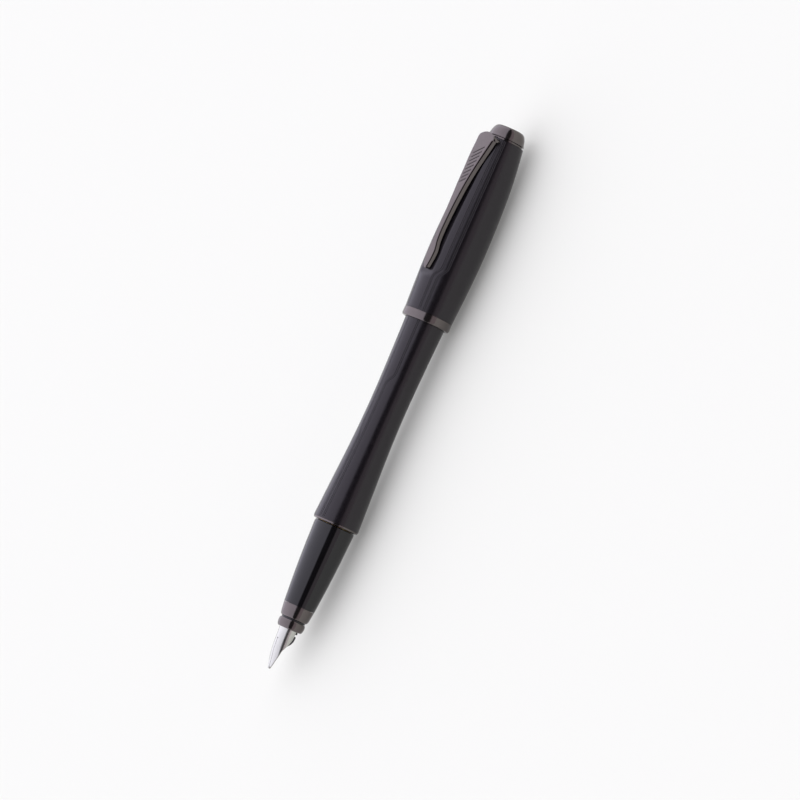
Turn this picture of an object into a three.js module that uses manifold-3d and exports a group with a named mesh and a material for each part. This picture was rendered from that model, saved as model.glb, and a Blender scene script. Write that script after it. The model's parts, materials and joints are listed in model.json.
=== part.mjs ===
// A cartridge/converter fountain pen with its cap posted on the back of the barrel.
//
// Every piece is turned about the pen's own axis, so the pieces are described by stations: a station is the
// distance in millimetres from the tip of the nib, measured back along that axis. The finished group lies on
// its side, +X running from the nib to the crown, with the clip and the top of the nib facing +Z.

import * as THREE from "three";
import { mergeVertices } from "three/addons/utils/BufferGeometryUtils.js";
import Module from "manifold-3d";

const wasm = await Module();
wasm.setup();

// ---------------------------------------------------------------- driving dimensions, in millimetres

const POSTED_LENGTH = 150; // nib tip to crown, cap posted
const CAP_MAX_RADIUS = 7.05; // the widest place of the cap, which the pen lies on
const CLEARANCE = 0.06; // between two pieces fixed to each other
const SEAM = 0.03; // the same where the joint shows
const FACETS = 32; // round a shell
const SMALL_FACETS = 16; // round a piece inside the pen
const ROD_FACETS = 10;

// Stations where one visible piece meets the next.
const NOSE_FRONT = 11.1;
const NOSE_REAR = 13.45;
const BAND_FRONT = 13.9;
const GRIP_FRONT = 17.35;
const GRIP_REAR = 39.6;
const BARREL_FRONT = 40.3;
const BARREL_REAR = 121.5;
const BARREL_TIP = 123;
const LIP_FRONT = 95.9;
const CAP_FRONT = 98.2;
const CAP_REAR = 146.25;
const CROWN_FRONT = 146.9;

// The nib and feed, and what holds them.
const TIP_RADIUS = 0.42;
const NIB_SHEET = 0.32;
const NIB_TAIL = 23;
const SLIT_WIDTH = 0.12;
const BREATHER_STATION = 8.1;
const BREATHER_RADIUS = 0.16;
const FEED_GAP = 0.12;
const FEED_SHOULDER = -0.6; // above this height over the axis the feed stays inside the nib
const GROOVE_RADIUS = 3.2; // floor of the groove between nose ring and front band
const SPIGOT_FRONT = 12.3; // what the nose ring is pressed onto
const SPIGOT_RADIUS = 2.96;
const NIB_BORE = 2.73;
const HOUSING_RADIUS = 3.1;
const HOUSING_FLOOR = 25.5;
const HOUSING_REAR = 26.4;
const NIPPLE_RADIUS = 1.55;
const NIPPLE_REAR = 31;

// The thread between grip and barrel, drawn as rings so that the barrel can slide straight off.
const COUPLING_FRONT = 34;
const COUPLING_REAR = 46.9;
const COUPLING_RADIUS = 4.5;
const MALE_CREST = 4.42;
const MALE_ROOT = 4.18;
const FEMALE_CREST = 4.52;
const FEMALE_ROOT = 4.74;
const THREAD_FRONT = 40.7;
const THREAD_PITCH = 2;
const THREAD_TURNS = 3;
const BUSH_RADIUS = 4.95;
const BUSH_REAR = 47.2;
const BARREL_WALL = 0.72;
const PLUG_BORE = 3.6;
const PLUG_FRONT = 118;

// The ink converter.
const CONVERTER_BORE = 3.85; // the room for it inside the grip
const TUBE_FRONT = 27.6;
const TUBE_REAR = 66;
const TUBE_RADIUS = 3.5;
const INK_RADIUS = 3.0;
const GUIDE_FRONT = 64;
const GUIDE_REAR = 70.1;
const SLEEVE_FRONT = 61;
const SLEEVE_REAR = 79;
const SLEEVE_RADIUS = 3.7;
const SLEEVE_BORE = 3.4;
const KNOB_FLOOR = 94.5;
const KNOB_REAR = 96;
const KNOB_RADIUS = 3.55;
const FLUTES = 12;
const PISTON_FRONT = 35;
const PISTON_REAR = 40;
const ROD_REAR = 73.5;
const ROD_RADIUS = 0.95;
const ROD_CORE = 0.7;
const ROD_TENON = 0.82;
const ROD_BORE = 1.05;
const SCREW_PITCH = 2.5;

// Inside the cap.
const CAP_WALL = 0.7;
const CAP_BORE = 5.5; // what the back of the barrel slides into
const CAP_FLOOR = 145.2;
const LIP_SPIGOT = 5.87;
const LIP_SPIGOT_REAR = 102.5;
const LINER_FLOOR = 139;
const SCREW_RADIUS = 1.15;
const SCREW_HEAD_RADIUS = 2.2;
const CROWN_FLOOR = 148.8;
const FLAT_FRONT = 107; // the cap is cut flat under its clip
const FLAT_DEPTH = 0.42;

// The clip: a washer with a tongue, held under the crown, and the blade.
const RING_FRONT = 146.33;
const RING_REAR = 146.82;
const TONGUE_TOP = 5.22;
const TONGUE_WIDTH = 3.8;
const CLIP_FRONT = 108.6;
const CLIP_THICKNESS = 1.2;
const CLIP_BEVEL_OUT = 0.26; // the bevel along each edge of its face
const CLIP_BEVEL_DROP = 0.31;
const CLIP_FLARE = 0.2; // how far each side slopes out from the bevel to the underside
const CLIP_GAP = 0.25;
const CLIP_LINES = 8;
const CLIP_LINES_REAR = 141.5;
const CLIP_LINE_PITCH = 1.25;
const CLIP_LINE_DEPTH = 0.15;
const CLIP_LINE_SLANT = THREE.MathUtils.degToRad(35);
const BUMP_STATION = 112;

// ---------------------------------------------------------------- outlines, as [station, value] points

// A smooth line through a few points, as points of a turned outline.
function curved(points, steps) {
  const curve = new THREE.SplineCurve(points.map(([s, v]) => new THREE.Vector2(s, v)));
  return curve.getPoints(steps).map((p) => [p.x, p.y]);
}

const BARREL_LINE = curved(
  [
    [BARREL_FRONT, 6.13], [50.5, 5.61], [62, 5.05], [73, 4.81], [86, 4.99], [101, 5.36], [112, 5.03],
    [BARREL_REAR, 4.3],
  ],
  13,
);
const CAP_LINE = curved(
  [
    [CAP_FRONT, 6.4], [106, 6.79], [114.5, CAP_MAX_RADIUS], [123, 6.96], [131, 6.63], [138.5, 6.05],
    [CAP_REAR, 5.03],
  ],
  12,
);
const GRIP_LINE = curved([[GRIP_FRONT, 4.14], [24.6, 4.7], [32, 5.12], [39.2, 5.35]], 6);

// The clip's flat top: its height over the axis, and its width, at each station.
const CLIP_HEIGHT = [
  [108.6, 7.82], [113.5, 8.12], [120, 8.32], [126, 8.28], [131, 8.08], [136, 7.62], [141, 7.07],
  [144.5, 6.68], [146.8, 6.5],
];
const CLIP_WIDTH = [
  [108.6, 0.5], [109, 1], [110, 1.5], [112, 2.15], [113.4, 2.35], [114.6, 2], [116, 1.45], [118.5, 1.25],
  [123, 1.5], [127, 1.9], [131, 2.45], [136, 3.4], [141, 4.75], [144.5, 5.7], [145.8, 6.1], [146.8, 5],
];

// The nib's cross-section is an arc: height of its top over the axis, radius, and half-angle in degrees.
const NIB_TOP = [[0, 1.03], [2, 1.36], [4, 1.83], [6, 2.18], [9.5, 2.45], [12, 2.65], [23, 2.65]];
const NIB_ARC_RADIUS = [[0, 2.2], [2, 2.36], [4, 2.5], [6, 2.45], [9.5, 2.48], [12, 2.65], [23, 2.65]];
const NIB_HALF_ANGLE = [
  [0, 9], [0.5, 15], [1, 22], [2, 30], [3, 39], [4, 48], [5, 56], [7.3, 85], [9.5, 104], [23, 104],
];

// How far the middle of the feed's section lies above the axis, so that its front runs up under the nib.
const FEED_LIFT = [[4.2, 1.15], [5.5, 0.6], [7, 0.15], [8, 0], [26, 0]];

// ---------------------------------------------------------------- helpers

// Value at a station of a line of [station, value] points.
function along(points, station) {
  const found = points.findIndex(([s]) => s >= station);
  const after = found < 0 ? points.length - 1 : Math.max(found, 1);
  const [s0, v0] = points[after - 1];
  const [s1, v1] = points[after];
  return THREE.MathUtils.clamp(
    THREE.MathUtils.mapLinear(station, s0, s1, v0, v1),
    Math.min(v0, v1),
    Math.max(v0, v1),
  );
}

// The same line a wall's thickness further in, between two stations, running back to the front.
const inset = (line, wall, from, to) =>
  line
    .filter(([s]) => s > from && s < to)
    .map(([s, r]) => [s, r - wall])
    .reverse();

// A piece turned about the pen's axis, +X, from an outline of [station, radius] points. The outline runs
// along the outside from front to rear and back along the inside, and one of its flats lies under the pen.
function turned(outline, facets = FACETS) {
  const points = outline.map(([s, r]) => new THREE.Vector2(r, s));
  const hollow = points[0].x > 0;
  if (hollow) points.push(points[0].clone());
  return new THREE.LatheGeometry(points, facets).rotateY(Math.PI / facets).rotateZ(-Math.PI / 2);
}

// A box whose grid of vertices is moved by place(u, v, w), each from 0 to 1.
function shapedBox(cuts, place) {
  const geometry = new THREE.BoxGeometry(1, 1, 1, ...cuts);
  const position = geometry.attributes.position;
  for (let i = 0; i < position.count; i++) {
    const moved = place(position.getX(i) + 0.5, position.getY(i) + 0.5, position.getZ(i) + 0.5);
    position.setXYZ(i, ...moved);
  }
  return geometry;
}

function solid(geometry) {
  const bare = geometry.clone();
  bare.deleteAttribute("normal");
  bare.deleteAttribute("uv");
  const merged = mergeVertices(bare, 1e-4);
  return new wasm.Manifold(
    new wasm.Mesh({
      numProp: 3,
      vertProperties: merged.attributes.position.array,
      triVerts: new Uint32Array(merged.index.array),
    }),
  );
}

function geometryOf(manifold) {
  const mesh = manifold.getMesh();
  const geometry = new THREE.BufferGeometry();
  geometry.setAttribute("position", new THREE.BufferAttribute(mesh.vertProperties, 3));
  geometry.setIndex(new THREE.BufferAttribute(mesh.triVerts, 1));
  return geometry;
}

const cut = (geometry, ...tools) =>
  geometryOf(tools.reduce((rest, tool) => rest.subtract(solid(tool)), solid(geometry)));
const join = (geometry, ...others) =>
  geometryOf(others.reduce((whole, other) => whole.add(solid(other)), solid(geometry)));

function box(sizeX, sizeY, sizeZ, x, y, z) {
  return new THREE.BoxGeometry(sizeX, sizeY, sizeZ).translate(x, y, z);
}

// Points of a row of rings from one radius to another, one to each pitch, as a thread seen in section.
function rings(front, pitch, count, root, crest) {
  const points = [];
  for (let i = 0; i < count; i++) {
    const start = front + i * pitch;
    points.push([start, root], [start + 0.3 * pitch, crest]);
    points.push([start + 0.5 * pitch, crest], [start + 0.8 * pitch, root]);
  }
  return points;
}

// ---------------------------------------------------------------- materials

const finish = (color, roughness, metalness) =>
  new THREE.MeshStandardMaterial({ color, roughness, metalness });
const BLACK_LACQUER = finish(0x232226, 0.32, 0.2);
const GLOSS_BLACK = finish(0x1c1b1e, 0.12, 0.0);
const GUNMETAL = finish(0x6b6062, 0.22, 0.9);
const STEEL = finish(0xc9c8ca, 0.18, 1.0);
const BRASS = finish(0xb08d57, 0.35, 1.0);
const BLACK_PLASTIC = finish(0x161617, 0.45, 0.0);
const CLEAR_PLASTIC = finish(0xd8dde0, 0.08, 0.0);
const RUBBER = finish(0x0f0f10, 0.7, 0.0);

const pen = new THREE.Group();
const axis = new THREE.Group(); // carries the stations
axis.position.set(-POSTED_LENGTH / 2, 0, CAP_MAX_RADIUS * Math.cos(Math.PI / FACETS));
pen.add(axis);

function piece(name, geometry, material) {
  const mesh = new THREE.Mesh(geometry, material);
  mesh.name = name;
  axis.add(mesh);
}

// ---------------------------------------------------------------- grip, nib and feed

function noseRing() {
  const seat = SPIGOT_RADIUS + CLEARANCE;
  return turned([
    [NOSE_FRONT, 2.94], [NOSE_FRONT + 0.2, 3.25], [NOSE_FRONT + 0.7, 3.44], [NOSE_FRONT + 1.6, 3.54],
    [NOSE_FRONT + 2.1, 3.47], [NOSE_REAR, 3.32], [NOSE_REAR, seat], [SPIGOT_FRONT - CLEARANCE, seat],
    [SPIGOT_FRONT - CLEARANCE, NIB_BORE], [NOSE_FRONT, NIB_BORE],
  ]);
}

function frontBand() {
  const rear = GRIP_FRONT - SEAM;
  const bore = HOUSING_RADIUS + CLEARANCE;
  return turned([
    [BAND_FRONT, 3.36], [BAND_FRONT + 0.25, 3.6], [BAND_FRONT + 0.8, 3.78], [rear, 4.12], [rear, bore],
    [BAND_FRONT, bore],
  ]);
}

function gripSection() {
  const front = HOUSING_RADIUS + CLEARANCE;
  const rear = COUPLING_RADIUS + CLEARANCE;
  return turned([
    ...GRIP_LINE,
    [GRIP_REAR, 5.22], [GRIP_REAR, rear], [COUPLING_FRONT, rear], [COUPLING_FRONT, CONVERTER_BORE],
    [HOUSING_REAR, CONVERTER_BORE], [HOUSING_REAR, front], [GRIP_FRONT, front],
  ]);
}

// The nib is a sheet bent to an arc whose radius and width change from tip to tail. A ball of hard metal
// tips it, and a slit runs back from there to the breather hole.
function nib() {
  const sheet = shapedBox([24, 12, 1], (u, v, w) => {
    const station = TIP_RADIUS + u * (NIB_TAIL - TIP_RADIUS);
    const radius = along(NIB_ARC_RADIUS, station);
    const centre = along(NIB_TOP, station) - radius;
    const angle = (2 * v - 1) * THREE.MathUtils.degToRad(along(NIB_HALF_ANGLE, station));
    const r = radius - NIB_SHEET * (1 - w);
    return [station, r * Math.sin(angle), centre + r * Math.cos(angle)];
  });
  const tipHeight = along(NIB_TOP, 0) - NIB_SHEET / 2;
  const tipping = new THREE.SphereGeometry(TIP_RADIUS, 12, 8).translate(TIP_RADIUS, 0, tipHeight);
  const slit = box(BREATHER_STATION + 1, SLIT_WIDTH, 4, (BREATHER_STATION - 1) / 2, 0, tipHeight);
  const breather = new THREE.CylinderGeometry(BREATHER_RADIUS, BREATHER_RADIUS, 3, 16)
    .rotateX(Math.PI / 2)
    .translate(BREATHER_STATION, 0, along(NIB_TOP, BREATHER_STATION));
  return cut(join(sheet, tipping), slit, breather);
}

// The feed is turned, lifted towards the nib at its front, and kept within the nib's arc.
function feed() {
  const nose = [[4.2, 0], [4.3, 0.3], [5.5, 0.9], [6.9, 1.5], [7.7, 2.02], [8.6, 2.35], [9.6, 2.42]];
  const front = [[9.9, 2.42], [10, 1.9], [10.4, 1.9], [10.5, 2.42], [11, 2.42]];
  const fins = rings(11.4, 2.2, 5, 1.8, 2.15);
  const tail = [[22.6, 2.15], [HOUSING_FLOOR - 0.3, 2.15], [HOUSING_FLOOR - 0.3, 0]];
  const geometry = turned([...nose, ...front, ...fins, ...tail], SMALL_FACETS);
  const position = geometry.attributes.position;
  for (let i = 0; i < position.count; i++) {
    const station = position.getX(i);
    const y = position.getY(i);
    const z = position.getZ(i) + along(FEED_LIFT, station);
    const radius = along(NIB_ARC_RADIUS, station);
    const centre = along(NIB_TOP, station) - radius;
    const room = radius - NIB_SHEET - FEED_GAP;
    const reach = Math.hypot(y, z - centre);
    const scale = z > FEED_SHOULDER && reach > room ? room / reach : 1;
    position.setXYZ(i, station, y * scale, centre + (z - centre) * scale);
  }
  return geometry;
}

// The sleeve that the nib and feed are pushed into, with a spigot for the nose ring, a collar that is the
// floor of the groove behind it, and the nipple that enters the converter.
function feedHousing() {
  const collar = [NOSE_REAR + CLEARANCE, BAND_FRONT - SEAM];
  return turned(
    [
      [SPIGOT_FRONT, SPIGOT_RADIUS], [collar[0], SPIGOT_RADIUS], [collar[0], GROOVE_RADIUS],
      [collar[1], GROOVE_RADIUS], [collar[1], HOUSING_RADIUS], [HOUSING_REAR - 0.2, HOUSING_RADIUS],
      [HOUSING_REAR + 0.4, 2.4], [HOUSING_REAR + 0.9, NIPPLE_RADIUS], [NIPPLE_REAR - 0.6, NIPPLE_RADIUS],
      [NIPPLE_REAR, 1.2], [NIPPLE_REAR, 0.6], [HOUSING_FLOOR, 0.6], [HOUSING_FLOOR, NIB_BORE],
      [SPIGOT_FRONT, NIB_BORE],
    ],
    FACETS,
  );
}

function sectionCoupling() {
  const flange = GRIP_REAR + 0.05;
  return turned([
    [COUPLING_FRONT + 0.1, COUPLING_RADIUS], [flange, COUPLING_RADIUS], [flange, COUPLING_RADIUS + 0.12],
    [flange + 0.4, COUPLING_RADIUS + 0.12], [flange + 0.55, MALE_ROOT],
    ...rings(THREAD_FRONT, THREAD_PITCH, THREAD_TURNS, MALE_ROOT, MALE_CREST),
    [COUPLING_REAR, MALE_ROOT], [COUPLING_REAR, CONVERTER_BORE], [COUPLING_FRONT + 0.1, CONVERTER_BORE],
  ]);
}

// ---------------------------------------------------------------- barrel

function barrelMouthRing() {
  const front = GRIP_REAR + 0.1;
  const rear = BARREL_FRONT - SEAM;
  return turned([
    [front, 5.47], [front + 0.15, 5.97], [rear, 6.08], [rear, FEMALE_ROOT], [front, FEMALE_ROOT],
  ]);
}

function barrelShell() {
  return turned([
    ...BARREL_LINE,
    [BARREL_REAR, PLUG_BORE], [PLUG_FRONT, PLUG_BORE],
    ...inset(BARREL_LINE, BARREL_WALL, 48, PLUG_FRONT),
    [BUSH_REAR, BUSH_RADIUS - 0.3], [BUSH_REAR, BUSH_RADIUS + CLEARANCE],
    [BARREL_FRONT, BUSH_RADIUS + CLEARANCE],
  ]);
}

function barrelThreadBush() {
  const front = BARREL_FRONT + 0.05;
  const rear = BUSH_REAR - 0.1;
  const thread = rings(THREAD_FRONT, THREAD_PITCH, THREAD_TURNS, FEMALE_ROOT, FEMALE_CREST);
  return turned([
    [front, BUSH_RADIUS], [rear, BUSH_RADIUS], [rear, FEMALE_ROOT], ...thread.reverse(),
    [front, FEMALE_ROOT],
  ]);
}

function barrelEndPlug() {
  const spigot = PLUG_BORE - CLEARANCE;
  const shoulder = BARREL_REAR + CLEARANCE;
  return turned([
    [PLUG_FRONT + 0.1, 0], [PLUG_FRONT + 0.1, spigot], [shoulder, spigot], [shoulder, 4.26],
    [122, 4.05], [122.5, 3.6], [122.85, 2.7], [BARREL_TIP, 1.5], [BARREL_TIP, 0],
  ]);
}

// ---------------------------------------------------------------- converter

function converterTube() {
  const socket = NIPPLE_RADIUS + 0.08;
  return turned(
    [
      [TUBE_FRONT, 2.5], [TUBE_FRONT + 0.4, 2.9], [TUBE_FRONT + 5.4, 2.95], [TUBE_FRONT + 6.2, TUBE_RADIUS],
      [TUBE_REAR, TUBE_RADIUS], [TUBE_REAR, INK_RADIUS], [TUBE_FRONT + 6.8, INK_RADIUS],
      [TUBE_FRONT + 4.8, socket], [TUBE_FRONT, socket],
    ],
    SMALL_FACETS,
  );
}

function converterSleeve() {
  const overTube = TUBE_RADIUS + CLEARANCE;
  return turned(
    [
      [SLEEVE_FRONT, SLEEVE_RADIUS], [SLEEVE_REAR, SLEEVE_RADIUS], [SLEEVE_REAR, SLEEVE_BORE],
      [GUIDE_REAR + 0.1, SLEEVE_BORE], [GUIDE_REAR + 0.1, overTube], [SLEEVE_FRONT, overTube],
    ],
    SMALL_FACETS,
  );
}

// The fixed guide that keeps the rod from turning.
function converterGuide() {
  const spigot = INK_RADIUS - 0.15;
  const shoulder = TUBE_REAR + 0.1;
  return turned(
    [
      [GUIDE_FRONT, spigot], [shoulder, spigot], [shoulder, TUBE_RADIUS], [GUIDE_REAR, TUBE_RADIUS],
      [GUIDE_REAR, ROD_BORE], [GUIDE_FRONT, ROD_BORE],
    ],
    SMALL_FACETS,
  );
}

function pistonSeal() {
  const front = PISTON_FRONT;
  const rear = PISTON_REAR;
  const lip = INK_RADIUS - 0.08;
  const waist = 2.3;
  return turned(
    [
      [front, 0], [front, 1.6], [front + 0.5, lip], [front + 1.1, lip], [front + 1.5, waist],
      [rear - 1.5, waist], [rear - 1.1, lip], [rear - 0.5, lip], [rear, 2.1], [rear, ROD_TENON + 0.08],
      [front + 2, ROD_TENON + 0.08], [front + 2, 0],
    ],
    SMALL_FACETS,
  );
}

// The rod's steep screw thread is drawn as rings, one to each turn.
function pistonRod() {
  const tenon = PISTON_FRONT + 2.1;
  const collar = PISTON_REAR + 0.1;
  const thread = collar + 1;
  const turns = Math.floor((ROD_REAR - thread) / SCREW_PITCH);
  return turned(
    [
      [tenon, 0], [tenon, ROD_TENON], [collar, ROD_TENON], [collar, ROD_RADIUS],
      [collar + 0.5, ROD_RADIUS], [collar + 0.6, ROD_CORE],
      ...rings(thread, SCREW_PITCH, turns, ROD_CORE, ROD_RADIUS),
      [ROD_REAR, ROD_CORE], [ROD_REAR, 0],
    ],
    ROD_FACETS,
  );
}

// The fluted knob is a hollow spindle that the rod screws back into.
function converterKnob() {
  const spindle = turned(
    [
      [KNOB_FLOOR, 0], [KNOB_FLOOR, ROD_BORE], [GUIDE_REAR + 0.2, ROD_BORE],
      [GUIDE_REAR + 0.2, SLEEVE_BORE - 0.1], [SLEEVE_REAR + 0.15, SLEEVE_BORE - 0.1],
      [SLEEVE_REAR + 0.15, KNOB_RADIUS], [KNOB_REAR - 1.4, KNOB_RADIUS], [KNOB_REAR - 0.5, 3.3],
      [KNOB_REAR, 2.6], [KNOB_REAR, 0],
    ],
    SMALL_FACETS,
  );
  const flutes = [];
  for (let i = 0; i < FLUTES; i++) {
    const flute = new THREE.CylinderGeometry(0.4, 0.4, 12, 6)
      .rotateZ(Math.PI / 2)
      .translate((SLEEVE_REAR + KNOB_REAR) / 2, 0, KNOB_RADIUS + 0.15);
    flutes.push(flute.rotateX(((i + 0.5) * 2 * Math.PI) / FLUTES));
  }
  return cut(spindle, ...flutes);
}

// ---------------------------------------------------------------- cap

function capLipBand() {
  const rear = CAP_FRONT - CLEARANCE;
  return turned([
    [LIP_FRONT, 6.05], [LIP_FRONT + 0.15, 6.3], [LIP_FRONT + 0.45, 6.43], [rear, 6.45],
    [rear, LIP_SPIGOT], [LIP_SPIGOT_REAR, LIP_SPIGOT], [LIP_SPIGOT_REAR, CAP_BORE],
    [LIP_FRONT + 0.3, CAP_BORE], [LIP_FRONT, CAP_BORE + 0.25],
  ]);
}

const underClip = (station) => along(CAP_LINE, station) - FLAT_DEPTH;

function capShell() {
  const hole = SCREW_RADIUS + 0.15;
  const shell = turned([
    ...CAP_LINE,
    [CAP_REAR, hole], [CAP_FLOOR, hole], [CAP_FLOOR, along(CAP_LINE, CAP_FLOOR) - CAP_WALL],
    ...inset(CAP_LINE, CAP_WALL, LIP_SPIGOT_REAR, CAP_FLOOR - 1), [CAP_FRONT, LIP_SPIGOT + CLEARANCE],
  ]);
  const flat = shapedBox([18, 1, 1], (u, v, w) => {
    const station = FLAT_FRONT + (CAP_REAR + 1 - FLAT_FRONT) * u ** 1.5;
    const floor = u > 0 ? underClip(station) : along(CAP_LINE, station) + 0.1;
    return [station, (2 * v - 1) * 3.5, floor + 2 * w];
  });
  return cut(shell, flat);
}

// The plastic liner that seals over the nib, and grips the barrel when the cap is posted.
function innerCap() {
  const front = LIP_SPIGOT_REAR + 0.1;
  const hole = SCREW_RADIUS + 0.1;
  return turned([
    [front, 5.86], [129, 5.8], [134, 5.5], [138, 5.15], [140.6, 4.85], [140.6, 2.6],
    [CAP_FLOOR - 0.3, 2.6], [CAP_FLOOR - 0.3, hole], [LINER_FLOOR, hole], [LINER_FLOOR, 4.4],
    [126, 4.9], [118, 5.25], [112, CAP_BORE], [front, CAP_BORE],
  ]);
}

function crownScrew() {
  const front = LINER_FLOOR - 1.1;
  const seat = LINER_FLOOR - CLEARANCE;
  const screw = turned(
    [
      [front, 0], [front, 1.8], [front + 0.3, SCREW_HEAD_RADIUS], [seat, SCREW_HEAD_RADIUS],
      [seat, SCREW_RADIUS], [CROWN_FLOOR - 0.2, SCREW_RADIUS], [CROWN_FLOOR - 0.2, 0],
    ],
    SMALL_FACETS,
  );
  return cut(screw, box(1, 5, 0.6, front, 0, 0));
}

function crown() {
  const hole = SCREW_RADIUS + 0.08;
  return turned([
    [CROWN_FLOOR, 0], [CROWN_FLOOR, hole], [CROWN_FRONT, hole], [CROWN_FRONT, 4.95], [147.5, 4.72],
    [148.6, 4.42], [149.3, 4.12], [149.75, 3.8], [POSTED_LENGTH, 3.5], [POSTED_LENGTH, 0],
  ]);
}

// The clip's washer under the crown, with the tongue that the blade springs from.
function clipRing() {
  const hole = SCREW_RADIUS + 0.1;
  const washer = turned([
    [RING_FRONT, 4.55], [RING_REAR, 4.55], [RING_REAR, hole], [RING_FRONT, hole],
  ]);
  const low = 3.6;
  const height = TONGUE_TOP - low;
  const middle = (RING_FRONT + RING_REAR) / 2;
  const tongue = box(RING_REAR - RING_FRONT, TONGUE_WIDTH, height, middle, 0, low + height / 2);
  return join(washer, tongue);
}

// The sprung blade: a flat-faced bar with bevelled edges that follows the cap to a rounded foot. Slanted
// lines are cut across it near its root, and a bump under the foot rests against the cap.
function clipBlade() {
  const blade = shapedBox([30, 1, 2], (u, v, w) => {
    const station = CLIP_FRONT + (RING_REAR - CLIP_FRONT) * u ** 1.2;
    const face = along(CLIP_WIDTH, station) / 2;
    const top = along(CLIP_HEIGHT, station);
    const low = Math.max(top - CLIP_THICKNESS, underClip(station) + CLIP_GAP);
    const bevel = [face + CLIP_BEVEL_OUT, top - CLIP_BEVEL_DROP];
    const levels = [[bevel[0] + CLIP_FLARE, low], bevel, [face, top]];
    const [half, height] = levels[Math.round(2 * w)];
    return [station, (2 * v - 1) * half, height];
  });
  const lines = [];
  for (let i = 0; i < CLIP_LINES; i++) {
    const station = CLIP_LINES_REAR - i * CLIP_LINE_PITCH;
    const line = box(0.4, 9, 1, 0, 0, 0.5 - CLIP_LINE_DEPTH)
      .rotateZ(CLIP_LINE_SLANT)
      .translate(station, 0, along(CLIP_HEIGHT, station));
    lines.push(line);
  }
  const bump = new THREE.SphereGeometry(0.6, 12, 8)
    .scale(1, 1, 0.6)
    .translate(BUMP_STATION, 0, underClip(BUMP_STATION) + 0.1 + 0.36);
  return cut(join(blade, bump), ...lines);
}

// ---------------------------------------------------------------- assembly

piece("grip_section", gripSection(), GLOSS_BLACK);
piece("front_band", frontBand(), GUNMETAL);
piece("nose_ring", noseRing(), GUNMETAL);
piece("nib", nib(), STEEL);
piece("feed", feed(), BLACK_PLASTIC);
piece("feed_housing", feedHousing(), BLACK_PLASTIC);
piece("section_coupling", sectionCoupling(), BRASS);

piece("barrel_shell", barrelShell(), BLACK_LACQUER);
piece("barrel_mouth_ring", barrelMouthRing(), GUNMETAL);
piece("barrel_thread_bush", barrelThreadBush(), BRASS);
piece("barrel_end_plug", barrelEndPlug(), GUNMETAL);

piece("converter_tube", converterTube(), CLEAR_PLASTIC);
piece("converter_sleeve", converterSleeve(), STEEL);
piece("converter_guide", converterGuide(), BLACK_PLASTIC);
piece("converter_knob", converterKnob(), BLACK_PLASTIC);
piece("piston_seal", pistonSeal(), RUBBER);
piece("piston_rod", pistonRod(), BLACK_PLASTIC);

piece("cap_shell", capShell(), BLACK_LACQUER);
piece("cap_lip_band", capLipBand(), GUNMETAL);
piece("inner_cap", innerCap(), BLACK_PLASTIC);
piece("crown", crown(), GUNMETAL);
piece("crown_screw", crownScrew(), STEEL);
piece("clip_ring", clipRing(), GUNMETAL);
piece("clip_blade", clipBlade(), GUNMETAL);

export default pen;
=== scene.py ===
"""A fountain pen with its cap posted on the barrel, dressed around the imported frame.

Lengths are in millimetres until a mesh is made. A station is a distance along the pen's axis, +X in the row
frame, and an azimuth is an angle round that axis, from the clip's side (+Z) towards the camera's side (-Y).
"""

import json
import math

import bmesh
import bpy
import numpy as np
from mathutils import Matrix, Vector


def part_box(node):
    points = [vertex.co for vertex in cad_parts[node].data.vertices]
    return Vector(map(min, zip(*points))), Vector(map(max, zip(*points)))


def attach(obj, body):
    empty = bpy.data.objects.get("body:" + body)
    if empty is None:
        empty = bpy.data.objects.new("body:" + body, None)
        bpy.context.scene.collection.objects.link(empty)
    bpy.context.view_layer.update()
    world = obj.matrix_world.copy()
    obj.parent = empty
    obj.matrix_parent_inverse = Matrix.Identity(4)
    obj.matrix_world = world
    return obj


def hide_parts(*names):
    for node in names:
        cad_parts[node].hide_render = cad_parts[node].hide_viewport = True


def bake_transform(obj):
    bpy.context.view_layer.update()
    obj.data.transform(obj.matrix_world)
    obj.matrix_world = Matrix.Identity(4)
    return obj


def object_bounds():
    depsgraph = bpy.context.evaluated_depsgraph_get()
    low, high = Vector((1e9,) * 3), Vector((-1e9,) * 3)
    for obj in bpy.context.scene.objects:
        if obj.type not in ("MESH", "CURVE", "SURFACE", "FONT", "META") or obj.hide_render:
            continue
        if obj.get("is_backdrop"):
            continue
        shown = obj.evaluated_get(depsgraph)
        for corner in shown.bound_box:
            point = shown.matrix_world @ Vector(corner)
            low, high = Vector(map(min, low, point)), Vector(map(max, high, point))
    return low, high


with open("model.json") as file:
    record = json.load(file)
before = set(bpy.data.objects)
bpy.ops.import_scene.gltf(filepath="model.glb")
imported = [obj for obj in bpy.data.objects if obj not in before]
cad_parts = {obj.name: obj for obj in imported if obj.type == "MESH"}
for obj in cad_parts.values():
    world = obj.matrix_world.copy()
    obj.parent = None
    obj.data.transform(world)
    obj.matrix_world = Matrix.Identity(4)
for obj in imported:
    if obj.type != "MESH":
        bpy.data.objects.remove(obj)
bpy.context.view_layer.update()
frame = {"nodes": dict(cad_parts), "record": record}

MM = 0.001
NODES = frame["nodes"]
BODY_OF = {node: body for body, nodes in frame["record"]["behaviour"]["bodies"].items() for node in nodes}


def limits(node):
    """Lowest and highest corner of a CAD node, in millimetres."""
    low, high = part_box(node)
    return low / MM, high / MM


AXIS_Z = (limits("crown")[0].z + limits("crown")[1].z) / 2
ROUND = 144  # segments round a visible turned piece
ROUND_INSIDE = 72
ROUND_OVER = 38  # degrees: an outline turning by more than this is an edge, and by less a curve
STRAIGHT = 8  # the same for a piece whose outline has no curves
EDGE = 0.03  # how far a softened edge reaches from its corner


# ------------------------------------------------------------------ outlines of the turned CAD nodes


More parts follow.
